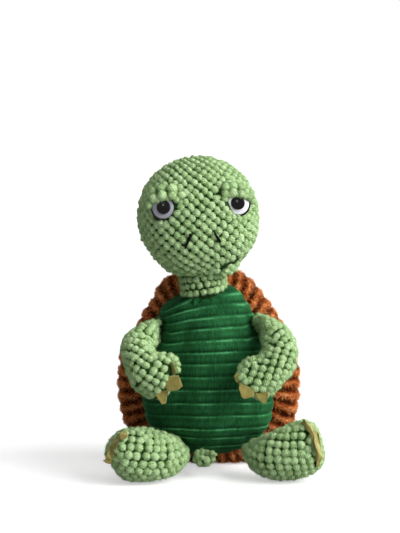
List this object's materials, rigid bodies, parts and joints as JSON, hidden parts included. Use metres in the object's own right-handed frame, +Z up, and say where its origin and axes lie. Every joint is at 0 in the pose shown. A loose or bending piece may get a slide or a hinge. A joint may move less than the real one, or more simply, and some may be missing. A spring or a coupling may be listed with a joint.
{
  "type": "plush turtle",
  "caption": "Seated plush turtle sewn from bobble knit, ribbed velour and brown pile, with a padded back, felt claws, domed plastic eyes and soft limbs that swing in their seams.",
  "frame": {"origin": "on the floor under the middle of the toy's bounding box", "axes": "+Z up, -Y the way the turtle faces; left and right are the turtle's own, so its left side is at +X"},
  "size_m": [0.1963, 0.1588, 0.2799],
  "materials": {
    "bobble_knit": "light green chenille bobble knit",
    "ribbed_velour": "dark green wide-rib velour",
    "brown_pile": "rust brown ribbed pile",
    "olive_felt": "olive wool felt",
    "black_thread": "black embroidery thread",
    "black_plastic": "polished black plastic",
    "white_plastic": "polished white plastic",
    "washer_plastic": "natural moulded plastic",
    "stuffing": "loose polyester fibre"
  },
  "bodies": {
    "body": {"belly_panel": "ribbed_velour", "back_panel": "ribbed_velour", "body_stuffing": "stuffing", "shell_front_panel": "brown_pile", "shell_back_panel": "brown_pile", "shell_stuffing": "stuffing"},
    "neck": {"neck_sleeve": "bobble_knit", "neck_stuffing": "stuffing"},
    "head": {"face_panel": "bobble_knit", "head_back_panel": "bobble_knit", "head_stuffing": "stuffing", "eye_left_base": "black_plastic", "eye_left_white": "white_plastic", "eye_left_pupil": "black_plastic", "eye_left_washer": "washer_plastic", "eye_right_base": "black_plastic", "eye_right_white": "white_plastic", "eye_right_pupil": "black_plastic", "eye_right_washer": "washer_plastic", "nostril_stitch_left": "black_thread", "nostril_stitch_right": "black_thread"},
    "arm_left": {"arm_left_sleeve": "bobble_knit", "arm_left_stuffing": "stuffing", "hand_pad_left": "bobble_knit", "hand_claws_left": "olive_felt"},
    "arm_right": {"arm_right_sleeve": "bobble_knit", "arm_right_stuffing": "stuffing", "hand_pad_right": "bobble_knit", "hand_claws_right": "olive_felt"},
    "leg_left": {"leg_left_sleeve": "bobble_knit", "leg_left_stuffing": "stuffing", "toe_cap_left": "bobble_knit", "toe_claws_left": "olive_felt"},
    "leg_right": {"leg_right_sleeve": "bobble_knit", "leg_right_stuffing": "stuffing", "toe_cap_right": "bobble_knit", "toe_claws_right": "olive_felt"},
    "tail": {"tail_sleeve": "bobble_knit", "tail_stuffing": "stuffing"}
  },
  "joints": [
    {"name": "head_turn", "type": "hinge", "parent": "body", "child": "neck", "pos_m": [-0.0075, -0.0025, 0.16], "axis": [0, 0, 1], "range_deg": [-35, 35], "stiffness_Nm_per_rad": 0.15},
    {"name": "head_nod", "type": "hinge", "parent": "neck", "child": "head", "pos_m": [-0.01, -0.003, 0.187], "axis": [1, 0, 0], "range_deg": [-12, 15], "stiffness_Nm_per_rad": 0.3},
    {"name": "arm_left_raise", "type": "hinge", "parent": "body", "child": "arm_left", "pos_m": [0.0396, -0.0176, 0.132], "axis": [-1, 0, 0], "range_deg": [0, 75], "stiffness_Nm_per_rad": 0.05},
    {"name": "arm_right_raise", "type": "hinge", "parent": "body", "child": "arm_right", "pos_m": [-0.0505, -0.0202, 0.1265], "axis": [-1, 0, 0], "range_deg": [0, 75], "stiffness_Nm_per_rad": 0.05},
    {"name": "leg_left_swing", "type": "hinge", "parent": "body", "child": "leg_left", "pos_m": [0.0385, -0.0245, 0.025], "axis": [0, 0, 1], "range_deg": [-12, 25], "stiffness_Nm_per_rad": 0.08},
    {"name": "leg_right_swing", "type": "hinge", "parent": "body", "child": "leg_right", "pos_m": [-0.033, -0.029, 0.023], "axis": [0, 0, -1], "range_deg": [-12, 25], "stiffness_Nm_per_rad": 0.08},
    {"name": "tail_wag", "type": "hinge", "parent": "body", "child": "tail", "pos_m": [-0.008, -0.0178, 0.0168], "axis": [0, 0, 1], "range_deg": [-6, 18], "stiffness_Nm_per_rad": 0.01}
  ]
}
